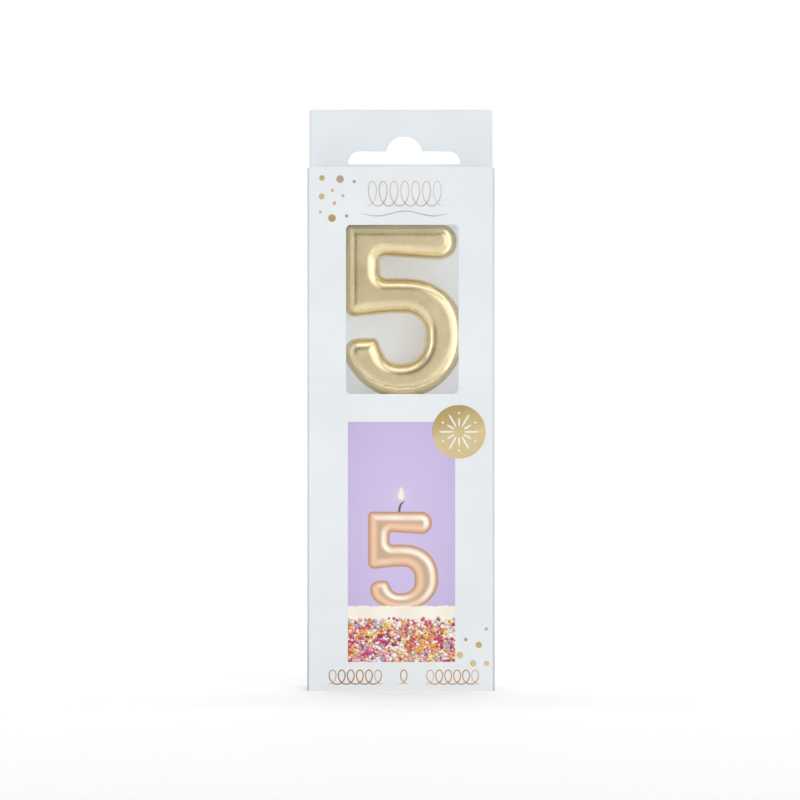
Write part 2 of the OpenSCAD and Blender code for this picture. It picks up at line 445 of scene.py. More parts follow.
# The figure's two drawings: where the bar ends, the angle at which the bowl stops being round, and
# the (x, z, radius) corners of the tail beyond that
WAX_FIGURE = (16.05, -160, [(-16.6, 16.9, 4.2)])
PRINTED_FIGURE = (14.8, -130, [(-15.1, 7.45, 9.5), (-15.1, 16.9, 4.6)])


def figure_outline(bar_end, bowl_end, tail):
    """The figure's outline in its own frame: x from the middle, z up from its lowest point."""
    bowl_x, bowl_z, bowl_r = 0.3, 17.5, 17.6
    shoulder_h, fullness = 16.55, 2 / 2.3  # the bowl's upper half is a little fuller than an ellipse
    first_angle, steps = 86, 40
    shoulder = []
    for i in range(steps):
        a = math.radians(first_angle * (1 - i / steps))
        across, up = math.cos(a) ** fullness, math.sin(a) ** fullness
        shoulder.append((bowl_x + bowl_r * across, bowl_z + shoulder_h * up, 0))
    belly = [(x, z, 0) for x, z in arc(bowl_x, bowl_z, bowl_r, 0, bowl_end, 60)]
    bar_and_neck = [(-16.1, 49.6, 2.0), (bar_end, 49.5, 4.9), (bar_end, 38.9, 4.9), (-5.8, 40.2, 1.3),
                    (-5.8, 34.0, 1.5), (-1.0, 34.1, 0)]
    counter = [(-6.8, 17.1, 1.8), (-3.9, 9.8, 4.4), (6.6, 9.8, 6.3), (6.6, 23.9, 5.3), (-3.0, 23.9, 4.0),
               (-16.1, 22.5, 2.8)]
    return rounded(bar_and_neck + shoulder + belly + tail + counter)


STROKE = 5.05  # half the width of a stroke of the figure
HALF_THICK = (CANDLE_HIGH[1] - CANDLE_LOW[1]) / 2


def outline_distance(outline, x, z):
    """Distance from each point to a closed outline, positive inside it."""
    px, pz = x.ravel(), z.ravel()
    best = np.full(px.shape, 1e9)
    inside = np.zeros(px.shape, bool)
    for (ax, az), (bx, bz) in zip(outline, outline[1:] + outline[:1]):
        dx, dz = bx - ax, bz - az
        length = dx * dx + dz * dz
        if length < 1e-12:
            continue
        t = np.clip(((px - ax) * dx + (pz - az) * dz) / length, 0, 1)
        best = np.minimum(best, (px - ax - t * dx) ** 2 + (pz - az - t * dz) ** 2)
        if az != bz:
            crosses = ((az > pz) != (bz > pz)) & (px < ax + (pz - az) * dx / dz)
            inside ^= crosses
    return np.where(inside, np.sqrt(best), -np.sqrt(best)).reshape(x.shape)


def blurred(field, passes):
    """Softens a 2-D field by repeated small averages."""
    for _ in range(passes):
        padded = np.pad(field, 1, mode="edge")
        field = (padded[:-2, 1:-1] + padded[2:, 1:-1] + padded[1:-1, :-2] + padded[1:-1, 2:]
                 + 4 * padded[1:-1, 1:-1]) / 8
    return field


class Figure:
    """The inflated figure: how thick it is at each place, from its distance to the outline."""

    STEP = 0.2  # between the samples of the distance
    POWER = 2.25  # 2 rounds like a circle, and more is squarer
    BAND = 4.0  # how far in from the outline the rounding runs; the middle of a stroke is flat

    def __init__(self, outline):
        self.x0, self.z0 = -19.0, -2.0
        self.xs = np.arange(self.x0, 20.0, self.STEP)
        self.zs = np.arange(self.z0, 52.0, self.STEP)
        gx, gz = np.meshgrid(self.xs, self.zs, indexing="ij")
        self.depth = blurred(outline_distance(outline, gx, gz), 3)

    def sample(self, x, z):
        """The distance to the outline at any place, between the grid's values."""
        u = np.clip((x - self.x0) / self.STEP, 0, len(self.xs) - 1.001)
        v = np.clip((z - self.z0) / self.STEP, 0, len(self.zs) - 1.001)
        i, j = u.astype(int), v.astype(int)
        fu, fv = u - i, v - j
        d = self.depth
        return ((d[i, j] * (1 - fu) + d[i + 1, j] * fu) * (1 - fv)
                + (d[i, j + 1] * (1 - fu) + d[i + 1, j + 1] * fu) * fv)

    def solid(self, x, y, z):
        """Below zero inside the figure, above zero outside."""
        lack = np.clip(1 - self.sample(x, z) / self.BAND, 0, None)
        return lack ** self.POWER + (np.abs(y) / HALF_THICK) ** self.POWER - 1


def surface_net(field, origin, step):
    """Quads over the zero surface of a sampled field, one vertex to each cell that it crosses."""
    shape = field.shape
    cells = tuple(n - 1 for n in shape)
    total, hits = np.zeros((*cells, 3)), np.zeros(cells)
    corner = np.stack(np.meshgrid(*[np.arange(n) for n in cells], indexing="ij"), -1).astype(float)
    for axis in range(3):
        others = [a for a in range(3) if a != axis]
        for p in (0, 1):
            for q in (0, 1):
                low = [slice(0, n) for n in cells]
                low[others[0]] = slice(p, cells[others[0]] + p)
                low[others[1]] = slice(q, cells[others[1]] + q)
                high = list(low)
                high[axis] = slice(1, cells[axis] + 1)
                a, b = field[tuple(low)], field[tuple(high)]
                crossed = (a < 0) != (b < 0)
                t = np.where(crossed, a / np.where(crossed, a - b, 1), 0)
                point = corner.copy()
                point[..., others[0]] += p
                point[..., others[1]] += q
                point[..., axis] += t
                total += point * crossed[..., None]
                hits += crossed
    used = hits > 0
    index = -np.ones(cells, int)
    index[used] = np.arange(used.sum())
    verts = origin + step * total[used] / hits[used][:, None]
    quads = []
    for axis in range(3):
        u, v = [a for a in range(3) if a != axis]
        if axis == 1:
            u, v = v, u
        inner = [slice(1, n) for n in cells]
        inner[axis] = slice(0, cells[axis])
        upper = list(inner)
        upper[axis] = slice(1, cells[axis] + 1)
        low_in = field[tuple(inner)] < 0
        high_in = field[tuple(upper)] < 0
        where = np.argwhere(low_in != high_in)
        flip = low_in[tuple(where.T)]
        shift = np.array([0, 0, 0])
        shift[u], shift[v] = 1, 1
        base = where + shift
        ring = []
        for du, dv in ((-1, -1), (0, -1), (0, 0), (-1, 0)):
            cell = base.copy()
            cell[:, u] += du
            cell[:, v] += dv
            ring.append(index[tuple(cell.T)])
        ring = np.stack(ring, 1)
        quads.append(np.where(flip[:, None], ring, ring[:, ::-1]))
    return verts, np.concatenate(quads)


def figure_mesh(figure, step):
    """Vertices and faces of the whole figure, each vertex drawn onto the true surface."""
    low, high = (-18.0, -HALF_THICK - 1, -1.2), (19.2, HALF_THICK + 1, 51.2)  # a box round the figure
    axes = [np.arange(a, b, step) for a, b in zip(low, high)]
    grid = np.meshgrid(*axes, indexing="ij")
    verts, quads = surface_net(figure.solid(*grid), np.array(low), step)
    e, longest = 0.05, 0.3 * step
    for _ in range(4):
        x, y, z = verts.T
        value = figure.solid(x, y, z)
        slope = np.stack([
            figure.solid(x + e, y, z) - figure.solid(x - e, y, z),
            figure.solid(x, y + e, z) - figure.solid(x, y - e, z),
            figure.solid(x, y, z + e) - figure.solid(x, y, z - e),
        ], 1) / (2 * e)
        size = np.maximum((slope ** 2).sum(1), 1e-4)
        move = -(value / size)[:, None] * slope
        length = np.linalg.norm(move, axis=1, keepdims=True)
        verts += move * np.minimum(1, longest / np.maximum(length, 1e-9))
    return verts, quads


def make_figure():
    """The wax figure, as one even mesh of quads."""
    verts, quads = figure_mesh(Figure(figure_outline(*WAX_FIGURE)), 0.4)
    verts = verts + np.array([0.0, 0.0, CANDLE_LOW[2]])
    mesh = bpy.data.meshes.new("wax_figure_five")
    mesh.from_pydata((verts * MM).tolist(), [], quads.tolist())
    mesh.update()
    obj = new_object("wax_figure_five", mesh)
    smooth = obj.modifiers.new("even", "SMOOTH")
    smooth.factor = 0.5
    smooth.iterations = 3
    with_modifiers_applied(obj)
    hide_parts("wax_numeral")
    return finish_piece(obj, "candle", GOLD_WAX, smooth=True)


def make_wick():
    """Three plaited strands, waxed together, with the tip leaning a little."""
    x, z0 = (WICK_LOW[0] + WICK_HIGH[0]) / 2, WICK_LOW[2]
    length = WICK_HIGH[2] - z0
    strands, sides, strand_r = 3, 8, 0.29
    pitch, rows = 2.6, 150
    swing_x, swing_y, lean_x, tip_loss = 0.33, 0.24, 0.35, 0.35
    lean_from, taper_from = 0.55, 0.95  # shares of the length
    parts = []
    for s in range(strands):
        verts = []
        for i in range(rows + 1):
            share = i / rows
            turn = 2 * math.pi * (length * share / pitch + s / strands)
            lean = lean_x * max(0.0, (share - lean_from) / (1 - lean_from)) ** 2
            cx = x + swing_x * math.cos(turn) + lean
            cy = swing_y * math.sin(2 * turn)
            taper = 1 - tip_loss * max(0.0, (share - taper_from) / (1 - taper_from))
            for k in range(sides):
                a = 2 * math.pi * k / sides
                verts.append((cx + strand_r * taper * math.cos(a), cy + strand_r * taper * math.sin(a),
                              z0 + length * share))
        parts.append(mesh_from("strand", verts, tube_faces(rows, sides)))
    obj = joined("braided_wick", parts)
    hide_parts("wick")
    return finish_piece(obj, "candle", COTTON, smooth=True)


def make_pick():
    """A four-ribbed moulded spike with a tapered point."""
    z0, z1 = PICK_LOW[2], PICK_HIGH[2]
    full_r, taper, sides, rows = PICK_HIGH[0], 9.0, 48, 60
    tip_share, flute_depth = 0.28, 0.42
    verts = []
    for i in range(rows + 1):
        z = z0 + (z1 - z0) * (i / rows) ** 1.4
        r = full_r * min(1.0, tip_share + (1 - tip_share) * (z - z0) / taper)
        for k in range(sides):
            a = 2 * math.pi * k / sides
            flute = flute_depth * (1 - abs(math.cos(2 * a)) ** 0.7)
            verts.append((r * (1 - flute) * math.cos(a), r * (1 - flute) * math.sin(a), z))
    obj = mesh_from("ribbed_cake_pick", verts, tube_faces(rows, sides))
    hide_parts("pick")
    return finish_piece(obj, "candle", PLASTIC, smooth=True)


# ---------------------------------------------------------------- the carton

CREASE = 0.55  # outer radius of the carton's upright creases
WINDOW = (-15.55, 16.25, 83.9, 131.7, 1.3)  # low x, high x, low z, high z, corner radius
INTO_FOLD = 0.1  # how far a wall reaches into the round fold of the lid that hangs on it


def rectangle(x0, x1, z0, z1, r):
    """A rectangle's outline, with its corners rounded to r."""
    return rounded([(x0, z0, r), (x0, z1, r), (x1, z1, r), (x1, z0, r)])


def slot_outline():
    """The euro slot: a flat-bottomed wing with a round bump in the middle."""
    x, low, half_w, wing, corner = 0.9, 150.2, 16.0, 3.6, 3.2
    bump_r, bump_z = 5.05, 153.05
    sharp, fillet, eased = 0.2, 0.3, 4  # radii, and how many degrees each fillet takes off the bump
    top = low + wing
    foot = math.degrees(math.asin((top - bump_z) / bump_r))
    bump = [(bx, bz, 0) for bx, bz in arc(x, bump_z, bump_r, foot + eased, 180 - eased - foot, 24)]
    foot_x = bump_r * math.cos(math.radians(foot)) + fillet
    right = [(x + half_w, low, sharp), (x + half_w, top, corner), (x + foot_x, top, fillet)]
    left = [(x - foot_x, top, fillet), (x - half_w, top, corner), (x - half_w, low, sharp)]
    return rounded(right + bump + left)


def crease(name, x_side, y_side, z0, z1):
    """A quarter-round upright crease of the board at one corner of the carton."""
    cx = x_side * (HALF_W - CREASE)
    cy = y_side * (BACK_Y - CREASE)
    turns = [math.radians(90 * i / 8) for i in range(9)]
    outer = [(cx + x_side * CREASE * math.cos(a), cy + y_side * CREASE * math.sin(a)) for a in turns]
    inner_r = CREASE - BOARD
    inner = [(cx + x_side * inner_r * math.cos(a), cy + y_side * inner_r * math.sin(a))
             for a in reversed(turns)]
    return bar(name, outer + inner, 2, z0, z1)


def line_inside(obj, inward):
    """Gives the faces that look into the carton the board's plainer, matt inner side, whose tone is
    lightened as painted light for the dim inside of the carton.
    """
    obj.data.materials.append(LIGHTENED_INNER_CARD)
    for face in obj.data.polygons:
        if face.normal.dot(Vector(inward)) > 0.9:
            face.material_index = 1


def make_walls():
    """The carton's four walls, its four upright creases, and the header with its second ply."""
    inset = HALF_W - CREASE
    shoulder = LEFT_HIGH[2]
    corner = 0.6  # radius of the header's top corners
    short = 0.03  # how far the front creases stop below the lid's top
    fold_z = (TOP_LOW[2] + TOP_HIGH[2]) / 2
    front = plate("front_wall", [rectangle(-inset, inset, FRONT_LOW[2], fold_z + INTO_FOLD, 0),
                                 rectangle(*WINDOW)], FRONT_Y, FRONT_Y + BOARD,
                  lambda x, z: abs(x) > inset - 0.01)
    back = plate("back_wall", [[(-inset, BACK_LOW[2]), (-inset, shoulder), (-HALF_W, shoulder),
                                *arc(-HALF_W + corner, BACK_HIGH[2] - corner, corner, 180, 90, 5),
                                *arc(HALF_W - corner, BACK_HIGH[2] - corner, corner, 90, 0, 5),
                                (HALF_W, shoulder), (inset, shoulder), (inset, BACK_LOW[2])],
                               slot_outline()], BACK_Y - BOARD, BACK_Y,
                 lambda x, z: z < shoulder + 0.01 and abs(x) > inset - 0.01)
    liner_edge = rectangle(LINER_LOW[0], LINER_HIGH[0], LINER_LOW[2], LINER_HIGH[2], 0.5)
    liner = plate("header_liner", [liner_edge, slot_outline()], LINER_LOW[1], LINER_HIGH[1])
    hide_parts("front_panel")
    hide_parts("back_panel")
    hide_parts("hang_tab_liner")
    for obj in (front, back, liner):
        finish_piece(obj, "carton", CARD)
    line_inside(front, (0, 1, 0))
    line_inside(back, (0, -1, 0))
    depth = BACK_Y - CREASE
    for side, node in ((-1, "left_panel"), (1, "right_panel")):
        x0, x1 = side * HALF_W, side * (HALF_W - BOARD)
        section = [(x0, -depth), (x0, depth), (x1, depth), (x1, -depth)]
        wall = bar(f"{node}_wall", section, 2, LEFT_LOW[2], LEFT_HIGH[2])
        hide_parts(node)
        finish_piece(wall, "carton", CARD)
        line_inside(wall, (-side, 0, 0))
        for y_side, name, low, high in ((-1, "front", FRONT_LOW[2], TOP_HIGH[2] - short),
                                        (1, "back", BACK_LOW[2], shoulder)):
            fold = crease(f"{name}_{node}_crease", side, y_side, low, high)
            # the crease takes the darker board, which is painted shade along the fold
            finish_piece(fold, "carton", SHADED_FOLD_CARD, smooth=True)


def make_folding_boards():
    """The lids, lips and dust flaps: the CAD shapes with their cut edges softened."""
    edge, sharp = 0.09, math.radians(50)
    parts = ("lid", "lip", "flap_left", "flap_right")
    for node in [f"{end}_{part}" for end in ("top", "bottom") for part in parts]:
        bm = bmesh.new()
        bm.from_mesh(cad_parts[node].data)
        bmesh.ops.remove_doubles(bm, verts=bm.verts, dist=0.001 * MM)
        bmesh.ops.dissolve_limit(bm, angle_limit=math.radians(2), verts=bm.verts, edges=bm.edges)
        if node.endswith("lid"):  # its front fold runs the carton's full width
            reach = max(v.co.x for v in bm.verts)
            for v in bm.verts:
                if v.co.y < (FRONT_Y + BOARD + 0.1) * MM:
                    v.co.x *= HALF_W * MM / reach
        rim = [e for e in bm.edges if len(e.link_faces) == 2 and e.calc_face_angle(0) > sharp]
        bmesh.ops.bevel(bm, geom=rim, offset=edge * MM, segments=2, profile=0.5, affect="EDGES",
                        clamp_overlap=True)
        mesh = bpy.data.meshes.new(f"{node}_board")
        bm.to_mesh(mesh)
        bm.free()
        obj = new_object(f"{node}_board", mesh)
        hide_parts(node)
        finish_piece(obj, node, CARD)


# ---------------------------------------------------------------- print and foil

PICTURE = (-15.0, 15.3, 8.2, 76.0)  # low x, high x, low z, high z
SPRINKLE_TINTS = [(0.40, 0.00, 0.04), (0.60, 0.01, 0.12), (0.62, 0.02, 0.18), (0.88, 0.26, 0.02),
                  (0.92, 0.42, 0.04), (0.94, 0.74, 0.14), (0.95, 0.90, 0.72), (0.96, 0.95, 0.92),
                  (0.42, 0.47, 0.58), (0.86, 0.32, 0.50), (0.96, 0.93, 0.84)]


def linear(r, g, b):
    """A colour given in 0 to 255 display values, as light."""
    return np.array([(c / 255 / 12.92) if c <= 10 else ((c / 255 + 0.055) / 1.055) ** 2.4
                     for c in (r, g, b)])


def paint(canvas, mask, color):
    """Lays a colour over the canvas, as strongly as the mask says."""
    canvas += (np.asarray(color) - canvas) * mask[..., None]


def soft_step(value, edge, width):
    """0 below an edge and 1 above it, with a ramp of some width between."""
    return np.clip((value - edge) / width + 0.5, 0, 1)


def paint_figure(canvas, x, z):
    """The little rose-gold figure on the cake: a polished tube, lit from above and the right."""
    figure = Figure(figure_outline(*PRINTED_FIGURE))
    middle_x, tail_z, figure_tail_z = 0.1, 31.0, 16.9  # the tail's top, in the picture and the figure
    across, above, below = 0.58, 0.6, 0.485  # the picture's scale, and its height's about the tail
    fx = (x - middle_x) / across
    fz = figure_tail_z + (z - tail_z) / np.where(z > tail_z, above, below)
    depth = figure.sample(fx, fz)
    e = 0.4
    gx = figure.sample(fx + e, fz) - figure.sample(fx - e, fz)
    gz = figure.sample(fx, fz + e) - figure.sample(fx, fz - e)
    size = np.sqrt(gx ** 2 + gz ** 2) + 1e-6
    out_x, out_z = -gx / size, -gz / size
    sway = 0.10 * np.sin(0.45 * fx + 0.2 * fz) + 0.10 * np.sin(0.31 * fz - 0.5)
    lit = np.clip(0.28 + 0.35 * out_z + 0.62 * out_x + sway, 0, 1)[..., None] ** 1.3
    body, shine = linear(238, 200, 168), linear(255, 251, 242)
    glint = body + (shine - body) * lit
    stops = [(0.0, linear(168, 120, 80)), (0.07, linear(190, 144, 104)), (0.20, linear(220, 174, 136)),
             (0.46, None), (0.62, None), (0.90, linear(214, 180, 150)), (1.0, linear(204, 170, 138))]
    share = np.clip(depth / STROKE, 0, 1)
    color = np.zeros((*x.shape, 3))
    for (low, first), (high, second) in zip(stops, stops[1:]):
        a = glint if first is None else first
        b = glint if second is None else second
        t = np.clip((share - low) / (high - low), 0, 1)
        t = (t * t * (3 - 2 * t))[..., None]
        inside = ((share >= low) & (share <= high))[..., None]
        color = np.where(inside, a + (b - a) * t, color)
    paint(canvas, soft_step(depth, 0.0, 0.5), color)


def paint_wick(canvas, x, z):
    """A charred wick that bends to the right."""
    low, high = 50.1, 53.5
    t = np.clip((z - low) / (high - low), 0, 1)
    wick_x = -0.55 + 0.2 * t + 1.15 * t ** 4
    across = soft_step(0.31 - np.abs(x - wick_x), 0, 0.22)
    ash, char = linear(104, 90, 96), linear(24, 18, 24)
    paint(canvas, across * soft_step(z, low, 0.3) * soft_step(high - z, 0, 0.3),
          ash + (char - ash) * t[..., None])


def paint_flame(canvas, x, z):
    """A drop-shaped flame that fades at its foot, with a paler heart and a glow round it."""
    middle_x, middle_z, low, high = 0.05, 55.3, 53.8, 57.6
    away = np.abs(x - middle_x)
    t = np.clip((z - low) / (high - low), 0, 1)
    half_w = 2.15 * np.sqrt(t + 0.02) * (1 - t) ** 0.9
    glow = np.exp(-(away ** 2 + (z - middle_z) ** 2) / 5.0)
    paint(canvas, 0.3 * glow, linear(240, 222, 236))
    within = (z > low) * (z < high) * np.clip((z - low) / 0.7, 0, 1)
    paint(canvas, soft_step(half_w - away, 0, 0.3) * within, linear(253, 228, 208))
    paint(canvas, soft_step(half_w * 0.6 - away, 0, 0.4) * within, linear(255, 240, 226))


def paint_frosting(canvas, x, z):
    """Smooth frosting along the cake's top, and the darker side under it."""
    frosting_top, side_top = 24.0, 19.4
    ripple = 0.10 * np.sin(1.1 * x + 0.6) + 0.08 * np.sin(3.1 * x) + 0.05 * np.sin(7.3 * x + 1.0)
    cream, shade = linear(249, 243, 230), linear(240, 231, 214)
    swirl = (0.5 + 0.5 * np.sin(0.5 * x + 0.9 * np.sin(1.2 * z)))[..., None]
    paint(canvas, soft_step(frosting_top + ripple - z, 0, 0.2), cream + (shade - cream) * swirl * 0.6)
    edge = side_top + 0.3 * np.sin(0.9 * x) + 0.2 * np.sin(3.7 * x + 2)
    paint(canvas, soft_step(edge - z, 0, 0.8), linear(222, 200, 190))


def paint_beads(canvas, x, z, rng):
    """Sugar beads packed over the cake's side and thinner over its edge, many in patches of a tint."""
    beads, patches, in_patch = 2700, 70, 0.4  # the last is the share that takes its patch's tint
    packed_to, top, left_out = 19.3, 20.6, 0.75  # heights, and the share left out between them
    low_x, high_x, low_z, _ = PICTURE
    seeds = [(rng.uniform(low_x, high_x), rng.uniform(low_z, 21), rng.choice(SPRINKLE_TINTS))
             for _ in range(patches)]
    for _ in range(beads):
        cx, cz = rng.uniform(low_x - 0.3, high_x + 0.3), rng.uniform(low_z - 0.3, top)
        if cz > packed_to + 0.5 * math.sin(0.8 * cx) and rng.random() < left_out:
            continue
        r = rng.uniform(0.36, 0.52)
        tint = rng.choice(SPRINKLE_TINTS)
        if rng.random() < in_patch:
            tint = min(seeds, key=lambda seed: (seed[0] - cx) ** 2 + (seed[1] - cz) ** 2)[2]
        i0, i1 = np.searchsorted(x[:, 0], [cx - r, cx + r])
        j0, j1 = np.searchsorted(z[0], [cz - r, cz + r])
        if i1 <= i0 or j1 <= j0:
            continue
        dx, dz = x[i0:i1, j0:j1] - cx, z[i0:i1, j0:j1] - cz
        reach = np.sqrt(dx ** 2 + dz ** 2) / r
        lit = np.clip(1.1 - 0.5 * reach ** 2 + 0.3 * (dz + 0.4 * dx) / r, 0.3, 1.25)
        color = np.clip(np.array(tint) * (lit * rng.uniform(0.85, 1.05))[..., None], 0, 1)
        spark = np.exp(-((dx - 0.25 * r) ** 2 + (dz - 0.35 * r) ** 2) / (0.06 * r * r))
        color = color + (1 - color) * (0.55 * spark)[..., None]
        paint(canvas[i0:i1, j0:j1], soft_step(1 - reach, 0, 0.4), color)


def make_picture():
    """The printed picture, as a fine sheet of ink whose colours are painted by formula."""
    low_x, high_x, low_z, high_z = PICTURE
    step = 0.13
    nx, nz = round((high_x - low_x) / step), round((high_z - low_z) / step)
    x, z = np.meshgrid(np.linspace(low_x, high_x, nx + 1), np.linspace(low_z, high_z, nz + 1),
                       indexing="ij")
    lilac, corner_lilac = linear(207, 192, 230), linear(193, 176, 219)
    fade_z, fade_w, fade_h = 48, 15, 30
    fade = np.clip(((x / fade_w) ** 2 + ((z - fade_z) / fade_h) ** 2) / 2, 0, 1)
    canvas = lilac + (corner_lilac - lilac) * fade[..., None]
    paint_wick(canvas, x, z)
    paint_flame(canvas, x, z)
    paint_figure(canvas, x, z)
    paint_frosting(canvas, x, z)
    paint_beads(canvas, x, z, random.Random(SEED))
    verts = np.stack([x, np.full(x.shape, FRONT_Y - INK_LIFT), z], -1).reshape(-1, 3) * MM
    index = np.arange(verts.shape[0]).reshape(x.shape)
    corners = [index[:-1, :-1], index[1:, :-1], index[1:, 1:], index[:-1, 1:]]
    quads = np.stack(corners, -1).reshape(-1, 4)
    mesh = bpy.data.meshes.new("printed_picture")
    mesh.from_pydata(verts.tolist(), [], quads.tolist())
    ink = mesh.attributes.new("ink", "FLOAT_COLOR", "POINT")
    rgba = np.concatenate([np.clip(canvas, 0, 1).reshape(-1, 3), np.ones((len(verts), 1))], 1)
    ink.data.foreach_set("color", rgba.astype(np.float32).ravel())
    mesh.update()
    return finish_piece(new_object("printed_picture", mesh), "carton", PRINT)


def make_dots():
    """Scattered foil dots at two corners of the front: (x, z, radius, rose or not)."""
    dots = [(-22.3, 144.9, 0.8, 0), (-17.2, 144.6, 1.1, 1), (-13.2, 143.9, 0.45, 1),
            (-19.4, 141.4, 0.45, 0), (-22.4, 139.7, 0.85, 0), (-16.4, 139.9, 0.45, 0),
            (-18.8, 137.8, 0.55, 0), (-22.8, 135.3, 0.45, 0), (-19.5, 133.6, 1.1, 0),
            (-15.4, 134.2, 0.45, 0),
            (24.1, 17.5, 0.5, 1), (18.3, 14.5, 0.5, 0), (22.0, 13.0, 0.9, 0), (16.6, 10.1, 0.95, 0),
            (20.4, 7.8, 0.9, 0), (24.2, 7.8, 0.75, 0)]
    for rose, name, foil in ((0, "gold_foil_dots", GOLD_FOIL), (1, "rose_foil_dots", ROSE_FOIL)):
        parts = [disc("dot", x, z, r, FRONT_Y, DOT_LIFT) for x, z, r, kind in dots if kind == rose]
        finish_piece(joined(name, parts), "carton", foil)


def make_seal():
    """The round foil seal, with a pressed rim and a plain star burst on it."""
    x, z = (SEAL_LOW[0] + SEAL_HIGH[0]) / 2, (SEAL_LOW[2] + SEAL_HIGH[2]) / 2
    r = (SEAL_HIGH[0] - SEAL_LOW[0]) / 2
    lift = SEAL_HIGH[1] - SEAL_LOW[1]
    rings = ((1.0, 0.0), (0.995, 0.7), (0.98, 1.0), (0.93, 1.0), (0.92, 0.85), (0.90, 0.85),
             (0.89, 1.0), (0.4, 1.0), (0.02, 1.0))
    seal = disc("round_foil_seal", x, z, r, FRONT_Y, lift, rings, 96)
    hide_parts("foil_seal")
    finish_piece(seal, "carton", GOLD_FOIL)
    top = FRONT_Y - lift
    count, near, spot_away, spot_r, ray_w = 12, 1.6, 5.3, 0.3, 0.42
    rays = []
    for k in range(count):
        a = 2 * math.pi * k / count
        far = 3.9 if k % 2 else 5.6
        path = [(x + (near + (far - near) * t / 6) * math.cos(a),
                 z + (near + (far - near) * t / 6) * math.sin(a)) for t in range(7)]
        rays.append(ribbon("ray", path, ray_w, FOIL_LIFT, top))
        if k % 2:
            spot_x, spot_z = x + spot_away * math.cos(a), z + spot_away * math.sin(a)
            rays.append(disc("spot", spot_x, spot_z, spot_r, top, FOIL_LIFT, sides=16))
    finish_piece(joined("seal_star_burst", rays), "carton", WHITE_INK)


def loops(x0, x1, z, loop_w, loop_h):
    """A plain running-loop border from x0 to x1, standing on z."""
    count = max(1, round((x1 - x0) / loop_w))
    steps = 26 * count
    points = []
    for i in range(steps + 1):
        turn = 2 * math.pi * count * i / steps - math.pi / 2
        points.append((x0 + (x1 - x0) * i / steps + 0.6 * loop_w * math.cos(turn),
                       z + loop_h / 2 * (1 + math.sin(turn))))
    return points


def make_flourishes():
    """Plain foil borders where the front carries its headings."""
    swag_x, swag_w, swag_z, dip, steps = -10.8, 24, 134.9, 0.7, 80
    swag = [(swag_x + swag_w * i / steps, swag_z - dip * math.sin(3 * math.pi * i / steps))
            for i in range(steps + 1)]
    top = [ribbon("border", loops(-9.6, 11.8, 137.0, 3.05, 7.0), 0.32, FOIL_LIFT, FRONT_Y),
           ribbon("border", swag, 0.28, FOIL_LIFT, FRONT_Y)]
    finish_piece(joined("top_foil_border", top), "carton", PALE_ROSE_FOIL)
    low = [ribbon("border", loops(x0, x1, 1.9, 2.6, 4.0), 0.36, FOIL_LIFT, FRONT_Y)
           for x0, x1 in ((-20.6, -5.2), (-0.6, 2.2), (7.0, 22.2))]
    finish_piece(joined("bottom_foil_border", low), "carton", COPPER_FOIL)


# ---------------------------------------------------------------- CAD nodes that stay


def dress_cad_nodes():
    """Gives each CAD node that still shows its finished material."""
    # the insert and glue flap take the inner board, whose lighter tone is painted light for the dim inside
    dressed = {"window_film": FILM, "support_insert": LIGHTENED_INNER_CARD, "glue_flap": LIGHTENED_INNER_CARD}
    for name, material in dressed.items():
        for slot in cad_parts[name].material_slots:
            slot.material = material


# ---------------------------------------------------------------- stage, lights and camera

CAMERA_X, CAMERA_Z = -0.28, 82.2
CAMERA_AWAY = 970.0  # from the carton's front
LENS = 154.5


def make_stage():
    """A pale floor that sweeps up into a backdrop."""
    front, back, bend, height, half_w, steps = -3.0, 1.2, 0.8, 4.0, 4.0, 12
    turns = [math.radians(90 * i / steps) for i in range(1, steps + 1)]
    profile = [(front, 0.0), (back, 0.0)]
    profile += [(back + bend * math.sin(a), bend - bend * math.cos(a)) for a in turns]
    profile.append((back + bend, height))
    verts = [(x, y, z) for y, z in profile for x in (-half_w, half_w)]
    faces = [(2 * i, 2 * i + 1, 2 * i + 3, 2 * i + 2) for i in range(len(profile) - 1)]
    mesh = bpy.data.meshes.new("pale_sweep")
    mesh.from_pydata(verts, [], faces)
    mesh.polygons.foreach_set("use_smooth", [True] * len(faces))
    mat, tree, shader = new_material("pale_floor", (0.98, 0.98, 0.98), 0.8)
    cloud = noise(tree, 3, 2)
    tone = ramp(tree, cloud.outputs["Fac"], [(0.3, (0.975, 0.975, 0.975)), (0.7, (0.985, 0.985, 0.985))])
    tree.links.new(tone.outputs["Color"], shader.inputs["Base Color"])
    mesh.materials.append(mat)
    new_object("pale_sweep", mesh)


def area_light(name, place, target, size, watts, color=(1, 1, 1)):
    """A rectangular light that no view shows, turned towards its target."""
    data = bpy.data.lights.new(name, "AREA")
    data.shape = "RECTANGLE"
    data.size, data.size_y = size
    data.energy = watts
    data.color = color
    obj = bpy.data.objects.new(name, data)
    bpy.context.scene.collection.objects.link(obj)
    obj.location = place
    obj.rotation_euler = (Vector(target) - Vector(place)).to_track_quat("-Z", "Y").to_euler()
    obj.visible_camera = False
    return obj


# Radiance of the lights inside the carton; the shine is what the wax mirrors of the right-hand board
LEFT_GLOW, RIGHT_GLOW, TOP_GLOW, BACK_GLOW, FOOT_GLOW, RIGHT_SHINE = 0.5, 0.8, 0.36, 0.32, 7.0, 1.6


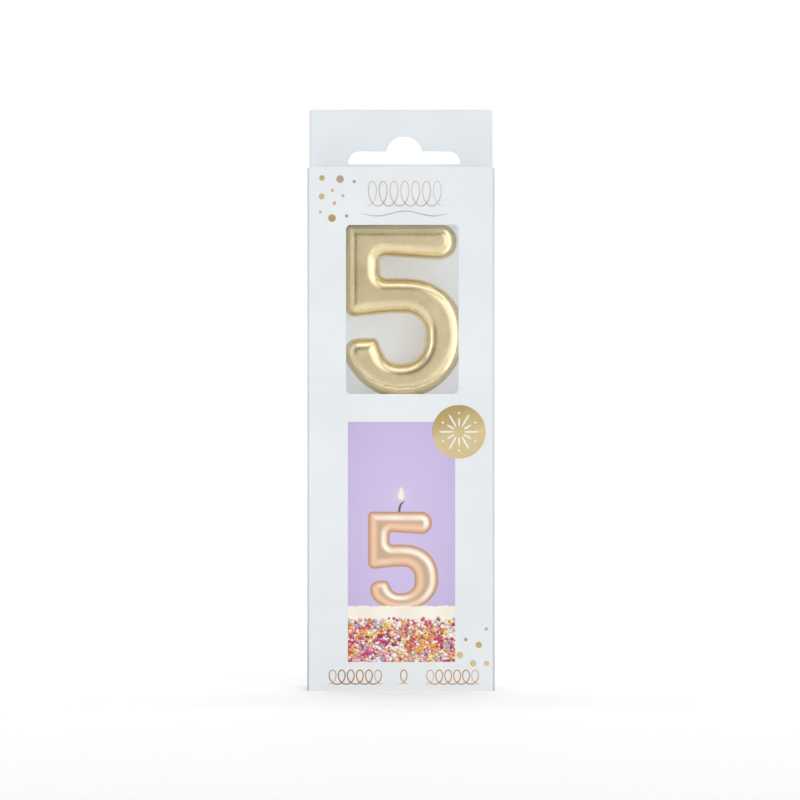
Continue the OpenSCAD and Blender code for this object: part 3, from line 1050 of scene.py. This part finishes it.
def inner_glow():
    """Weak lights inside the carton, for the daylight that thin white board lets through."""
    low_x, high_x, low_z, high_z, _ = WINDOW
    gap, ledge, margin, nearer = 0.3, 0.8, 2, 0.15
    side, top, foot = HALF_W - BOARD, LEFT_HIGH[2], low_z - ledge
    front, behind = FILM_HIGH[1] + gap, CANDLE_HIGH[1] + gap
    matt, gloss, both = (True, False), (False, True), (True, True)
    strips = [(-side, low_x, foot, top, front, LEFT_GLOW, both),
              (low_x, high_x, high_z, top, front, TOP_GLOW, both),
              (high_x, side, foot, top, front, RIGHT_GLOW, matt),
              (high_x, side, foot, top, front + nearer, RIGHT_SHINE, gloss),
              (low_x, high_x, foot, low_z, front, FOOT_GLOW, matt),
              (low_x - margin, high_x + margin, foot, high_z + margin, behind, BACK_GLOW, matt)]
    for x0, x1, z0, z1, y, radiance, surfaces in strips:
        w, h, x, z = (x1 - x0) * MM, (z1 - z0) * MM, (x0 + x1) / 2 * MM, (z0 + z1) / 2 * MM
        strip = area_light("inner_glow", (x, y * MM, z), (x, 1, z), (w, h), radiance * math.pi * w * h)
        strip.visible_diffuse, strip.visible_glossy = surfaces


def make_room():
    """Soft light from all round, with a dark ring round the front, which the glossy wax mirrors."""
    world = bpy.data.worlds.new("soft_room")
    world.use_nodes = True
    tree = world.node_tree
    coords = tree.nodes.new("ShaderNodeTexCoord")
    split = tree.nodes.new("ShaderNodeSeparateXYZ")
    toward = tree.nodes.new("ShaderNodeMath")
    toward.operation = "MULTIPLY"
    toward.inputs[1].default_value = -1
    tree.links.new(coords.outputs["Generated"], split.inputs["Vector"])
    tree.links.new(split.outputs["Y"], toward.inputs[0])
    pale, dark = (0.985, 0.995, 1.0), (0.0, 0.0, 0.0)
    tone = ramp(tree, toward.outputs["Value"], [(0.85, pale), (0.90, dark), (0.955, dark), (0.985, pale)])
    tree.links.new(tone.outputs["Color"], tree.nodes["Background"].inputs["Color"])
    tree.nodes["Background"].inputs["Strength"].default_value = 0.54
    bpy.context.scene.world = world
    bpy.context.scene.view_settings.view_transform = "Standard"


def make_lights():
    """The studio's softboxes, the light on the backdrop, and the glow inside the carton."""
    middle = (0, 0, 0.09)
    area_light("right_softbox", (1.21, -1.49, 0.345), middle, (2.32, 1.6), 17.2, (1, 0.99, 0.975))
    area_light("left_softbox", (-0.85, -0.55, 0.30), middle, (0.25, 0.6), 1.0)
    area_light("top_softbox", (0.0, -0.45, 0.95), middle, (1.4, 0.5), 2.6)
    area_light("backdrop_light", (0.0, 0.5, 1.4), (0, 1.9, 0.3), (2.4, 0.5), 22)
    inner_glow()


def make_camera():
    """A long lens level with the middle of the carton, straight in front of it."""
    data = bpy.data.cameras.new("camera")
    data.lens = LENS
    data.sensor_width = 36.0
    data.clip_start = 0.01
    data.clip_end = 20
    camera = bpy.data.objects.new("camera", data)
    bpy.context.scene.collection.objects.link(camera)
    camera.location = (CAMERA_X * MM, (FRONT_Y - CAMERA_AWAY) * MM, CAMERA_Z * MM)
    camera.rotation_euler = (math.radians(90), 0, 0)
    bpy.context.scene.camera = camera


# ---------------------------------------------------------------- build

make_camera()
make_room()
make_lights()
make_stage()
dress_cad_nodes()
make_walls()
make_folding_boards()
make_figure()
make_wick()
make_pick()
make_picture()
make_dots()
make_seal()
make_flourishes()
